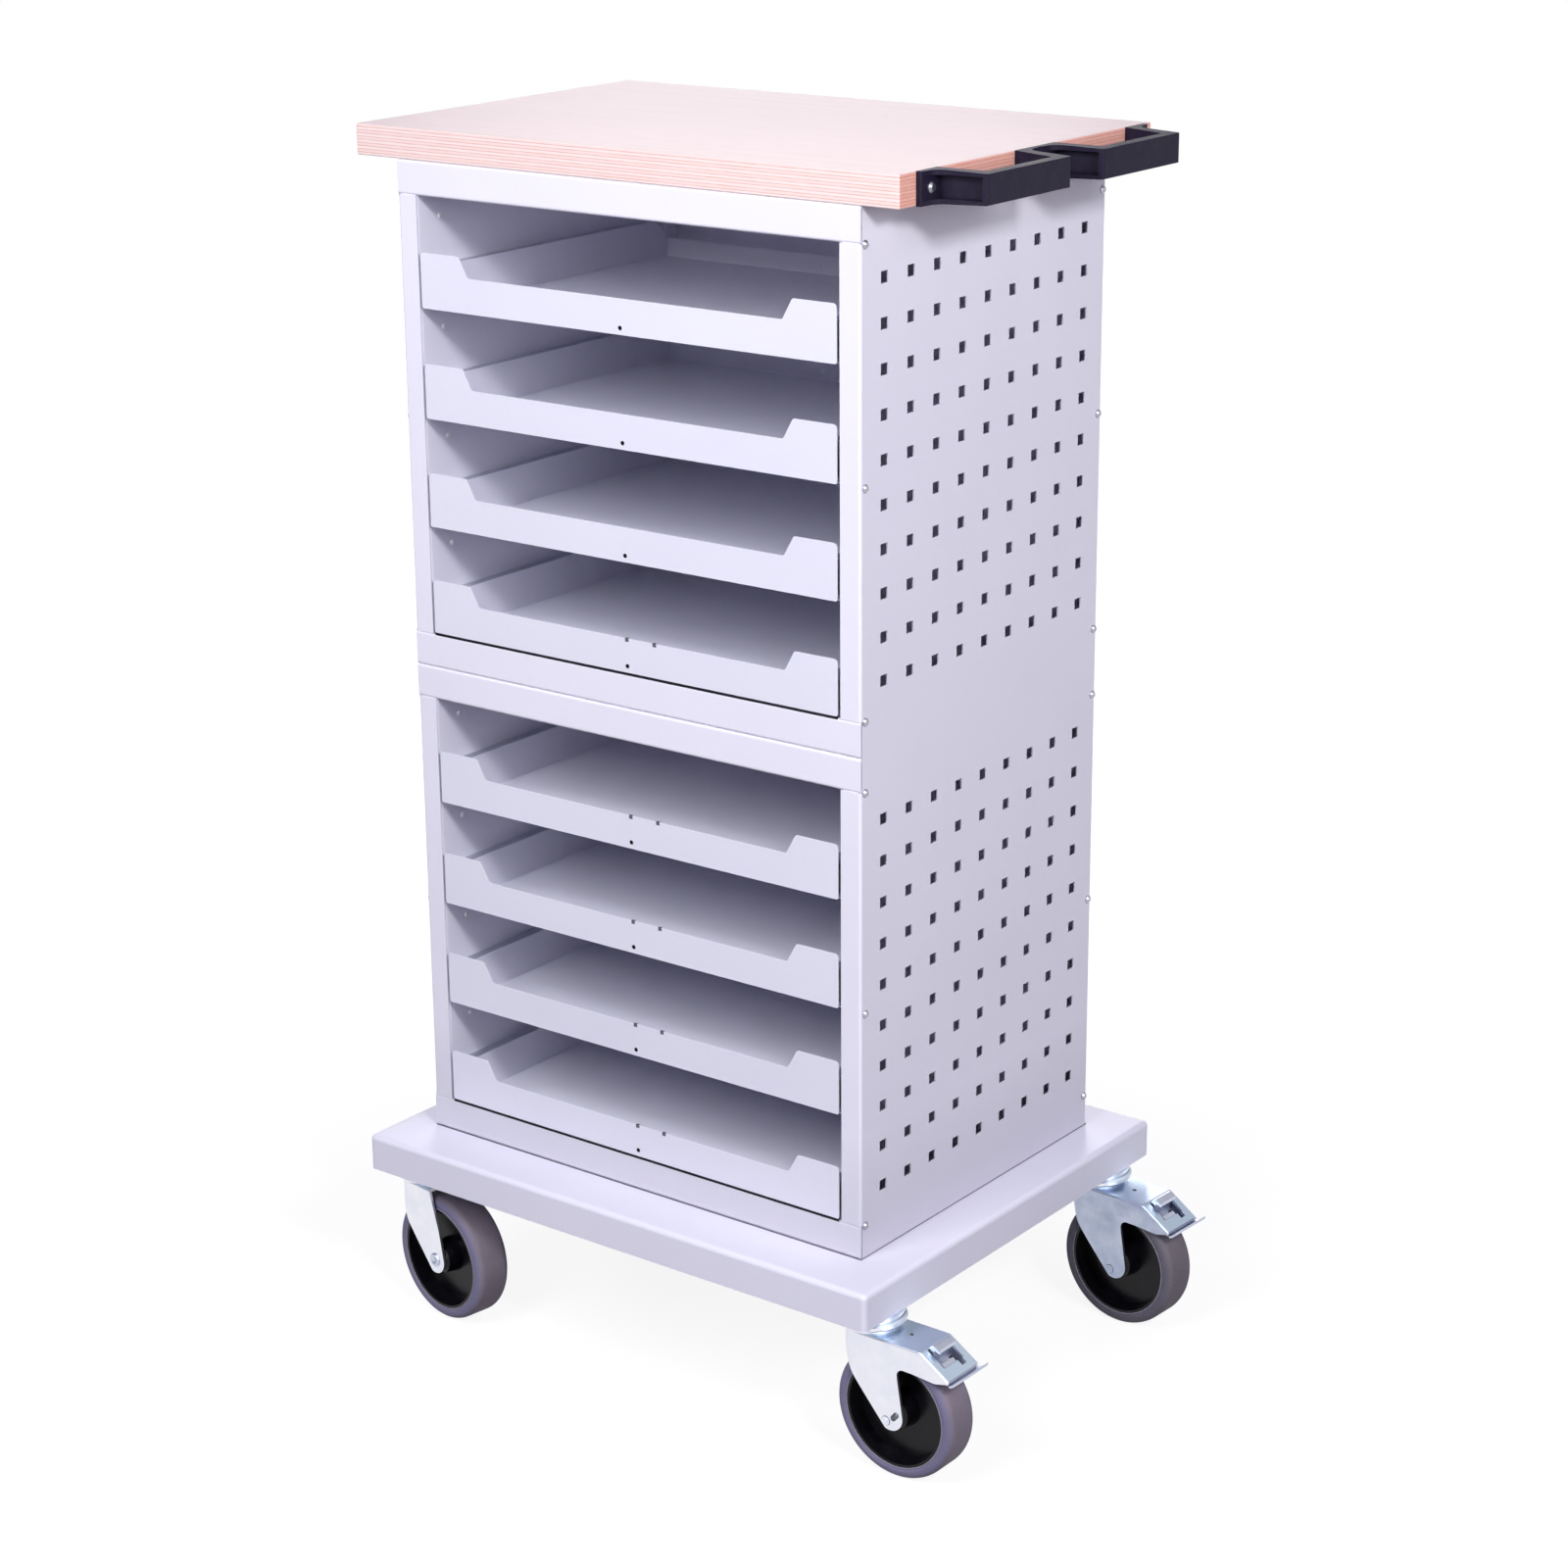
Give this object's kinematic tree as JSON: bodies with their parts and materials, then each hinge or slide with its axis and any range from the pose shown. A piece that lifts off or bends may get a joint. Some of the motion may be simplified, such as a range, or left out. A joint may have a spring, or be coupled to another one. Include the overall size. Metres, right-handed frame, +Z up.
{
  "type": "mobile drawer cabinet",
  "caption": "Trolley with two stacked sheet-metal housings of low pull-out trays, perforated sides, a plywood worktop with bow handles and a platform on swivelling casters.",
  "frame": {"origin": "on the floor, below the middle of the two housings in plan", "axes": "+Z up; -Y towards the tray fronts, the way the trays pull out; +X towards the side with the two bow handles"},
  "size_m": [0.6853, 0.471, 1.1432],
  "materials": {
    "housing_paint": "light grey powder coat, satin",
    "tray_paint": "near-white powder coat, satin",
    "platform_paint": "near-white powder coat, satin",
    "plywood": "lacquered plywood, pale face and darker layered edge",
    "handle_plastic": "fine-grained black moulding",
    "dark_screw": "blackened pan head",
    "zinc": "bright zinc plating",
    "galvanised": "galvanised sheet",
    "slide_steel": "zinc-plated rolled steel",
    "tyre": "grey solid rubber, matt",
    "wheel_centre": "glossy black moulding",
    "plug_plastic": "white plastic"
  },
  "bodies": {
    "cabinet": {"worktop": "plywood", "front_handle": "handle_plastic", "rear_handle": "handle_plastic", "handle_screws": "dark_screw", "platform": "platform_paint", "caster_channels": "galvanised", "panel_screws": "zinc", "wall_plugs": "plug_plastic", "joining_bolts": "zinc", "caster_races": "zinc", "lower_side_panel_right": "housing_paint", "lower_side_panel_left": "housing_paint", "lower_inner_walls": "housing_paint", "lower_decks": "housing_paint", "lower_back_panel": "housing_paint", "lower_outer_rails": "slide_steel", "upper_side_panel_right": "housing_paint", "upper_side_panel_left": "housing_paint", "upper_inner_walls": "housing_paint", "upper_decks": "housing_paint", "upper_back_panel": "housing_paint", "upper_outer_rails": "slide_steel"},
    "tray_1": {"tray_1": "tray_paint", "inner_rails_1": "slide_steel"},
    "middle_rails_1": {"middle_rails_1": "slide_steel"},
    "tray_2": {"tray_2": "tray_paint", "inner_rails_2": "slide_steel"},
    "middle_rails_2": {"middle_rails_2": "slide_steel"},
    "tray_3": {"tray_3": "tray_paint", "inner_rails_3": "slide_steel"},
    "middle_rails_3": {"middle_rails_3": "slide_steel"},
    "tray_4": {"tray_4": "tray_paint", "inner_rails_4": "slide_steel"},
    "middle_rails_4": {"middle_rails_4": "slide_steel"},
    "tray_5": {"tray_5": "tray_paint", "inner_rails_5": "slide_steel"},
    "middle_rails_5": {"middle_rails_5": "slide_steel"},
    "tray_6": {"tray_6": "tray_paint", "inner_rails_6": "slide_steel"},
    "middle_rails_6": {"middle_rails_6": "slide_steel"},
    "tray_7": {"tray_7": "tray_paint", "inner_rails_7": "slide_steel"},
    "middle_rails_7": {"middle_rails_7": "slide_steel"},
    "tray_8": {"tray_8": "tray_paint", "inner_rails_8": "slide_steel"},
    "middle_rails_8": {"middle_rails_8": "slide_steel"},
    "swivel_front_right": {"fork_front_right": "zinc"},
    "wheel_front_right": {"rim_front_right": "wheel_centre", "tyre_front_right": "tyre"},
    "brake_front_right": {"brake_pedal_front_right": "zinc"},
    "swivel_rear_right": {"fork_rear_right": "zinc"},
    "wheel_rear_right": {"rim_rear_right": "wheel_centre", "tyre_rear_right": "tyre"},
    "brake_rear_right": {"brake_pedal_rear_right": "zinc"},
    "swivel_front_left": {"fork_front_left": "zinc"},
    "wheel_front_left": {"rim_front_left": "wheel_centre", "tyre_front_left": "tyre"},
    "swivel_rear_left": {"fork_rear_left": "zinc"},
    "wheel_rear_left": {"rim_rear_left": "wheel_centre", "tyre_rear_left": "tyre"}
  },
  "joints": [
    {"name": "tray_1_slide", "type": "slide", "parent": "cabinet", "child": "tray_1", "axis": [0, -1, 0], "range_m": [0, 0.32]},
    {"name": "middle_rails_1_slide", "type": "slide", "parent": "cabinet", "child": "middle_rails_1", "axis": [0, -1, 0], "range_m": [0, 0.16]},
    {"name": "tray_2_slide", "type": "slide", "parent": "cabinet", "child": "tray_2", "axis": [0, -1, 0], "range_m": [0, 0.32]},
    {"name": "middle_rails_2_slide", "type": "slide", "parent": "cabinet", "child": "middle_rails_2", "axis": [0, -1, 0], "range_m": [0, 0.16]},
    {"name": "tray_3_slide", "type": "slide", "parent": "cabinet", "child": "tray_3", "axis": [0, -1, 0], "range_m": [0, 0.32]},
    {"name": "middle_rails_3_slide", "type": "slide", "parent": "cabinet", "child": "middle_rails_3", "axis": [0, -1, 0], "range_m": [0, 0.16]},
    {"name": "tray_4_slide", "type": "slide", "parent": "cabinet", "child": "tray_4", "axis": [0, -1, 0], "range_m": [0, 0.32]},
    {"name": "middle_rails_4_slide", "type": "slide", "parent": "cabinet", "child": "middle_rails_4", "axis": [0, -1, 0], "range_m": [0, 0.16]},
    {"name": "tray_5_slide", "type": "slide", "parent": "cabinet", "child": "tray_5", "axis": [0, -1, 0], "range_m": [0, 0.32]},
    {"name": "middle_rails_5_slide", "type": "slide", "parent": "cabinet", "child": "middle_rails_5", "axis": [0, -1, 0], "range_m": [0, 0.16]},
    {"name": "tray_6_slide", "type": "slide", "parent": "cabinet", "child": "tray_6", "axis": [0, -1, 0], "range_m": [0, 0.32]},
    {"name": "middle_rails_6_slide", "type": "slide", "parent": "cabinet", "child": "middle_rails_6", "axis": [0, -1, 0], "range_m": [0, 0.16]},
    {"name": "tray_7_slide", "type": "slide", "parent": "cabinet", "child": "tray_7", "axis": [0, -1, 0], "range_m": [0, 0.32]},
    {"name": "middle_rails_7_slide", "type": "slide", "parent": "cabinet", "child": "middle_rails_7", "axis": [0, -1, 0], "range_m": [0, 0.16]},
    {"name": "tray_8_slide", "type": "slide", "parent": "cabinet", "child": "tray_8", "axis": [0, -1, 0], "range_m": [0, 0.32]},
    {"name": "middle_rails_8_slide", "type": "slide", "parent": "cabinet", "child": "middle_rails_8", "axis": [0, -1, 0], "range_m": [0, 0.16]},
    {"name": "swivel_front_right_turn", "type": "hinge", "parent": "cabinet", "child": "swivel_front_right", "pos_m": [0.2698, -0.194, 0.15], "axis": [0, 0, 1], "continuous": true},
    {"name": "wheel_front_right_roll", "type": "hinge", "parent": "swivel_front_right", "child": "wheel_front_right", "pos_m": [0.3078, -0.19433, 0.0625], "axis": [0.0087, 1, 0], "continuous": true},
    {"name": "brake_front_right_press", "type": "hinge", "parent": "swivel_front_right", "child": "brake_front_right", "pos_m": [0.3388, -0.1946, 0.125], "axis": [0.0087, 1, 0], "range_deg": [0, 9]},
    {"name": "swivel_rear_right_turn", "type": "hinge", "parent": "cabinet", "child": "swivel_rear_right", "pos_m": [0.2698, 0.181, 0.15], "axis": [0, 0, 1], "continuous": true},
    {"name": "wheel_rear_right_roll", "type": "hinge", "parent": "swivel_rear_right", "child": "wheel_rear_right", "pos_m": [0.30773, 0.17868, 0.0625], "axis": [0.061, 0.9981, 0], "continuous": true},
    {"name": "brake_rear_right_press", "type": "hinge", "parent": "swivel_rear_right", "child": "brake_rear_right", "pos_m": [0.33867, 0.17679, 0.125], "axis": [0.061, 0.9981, 0], "range_deg": [0, 9]},
    {"name": "swivel_front_left_turn", "type": "hinge", "parent": "cabinet", "child": "swivel_front_left", "pos_m": [-0.2612, -0.194, 0.15], "axis": [0, 0, 1], "continuous": true},
    {"name": "wheel_front_left_roll", "type": "hinge", "parent": "swivel_front_left", "child": "wheel_front_left", "pos_m": [-0.22367, -0.19995, 0.0625], "axis": [0.1564, 0.9877, 0], "continuous": true},
    {"name": "swivel_rear_left_turn", "type": "hinge", "parent": "cabinet", "child": "swivel_rear_left", "pos_m": [-0.2612, 0.181, 0.15], "axis": [0, 0, 1], "continuous": true},
    {"name": "wheel_rear_left_roll", "type": "hinge", "parent": "swivel_rear_left", "child": "wheel_rear_left", "pos_m": [-0.22341, 0.17703, 0.0625], "axis": [0.1045, 0.9945, 0], "continuous": true}
  ],
  "couplings": [
    {"joint": "middle_rails_1_slide", "follows": "tray_1_slide", "ratio": 0.5},
    {"joint": "middle_rails_2_slide", "follows": "tray_2_slide", "ratio": 0.5},
    {"joint": "middle_rails_3_slide", "follows": "tray_3_slide", "ratio": 0.5},
    {"joint": "middle_rails_4_slide", "follows": "tray_4_slide", "ratio": 0.5},
    {"joint": "middle_rails_5_slide", "follows": "tray_5_slide", "ratio": 0.5},
    {"joint": "middle_rails_6_slide", "follows": "tray_6_slide", "ratio": 0.5},
    {"joint": "middle_rails_7_slide", "follows": "tray_7_slide", "ratio": 0.5},
    {"joint": "middle_rails_8_slide", "follows": "tray_8_slide", "ratio": 0.5}
  ]
}
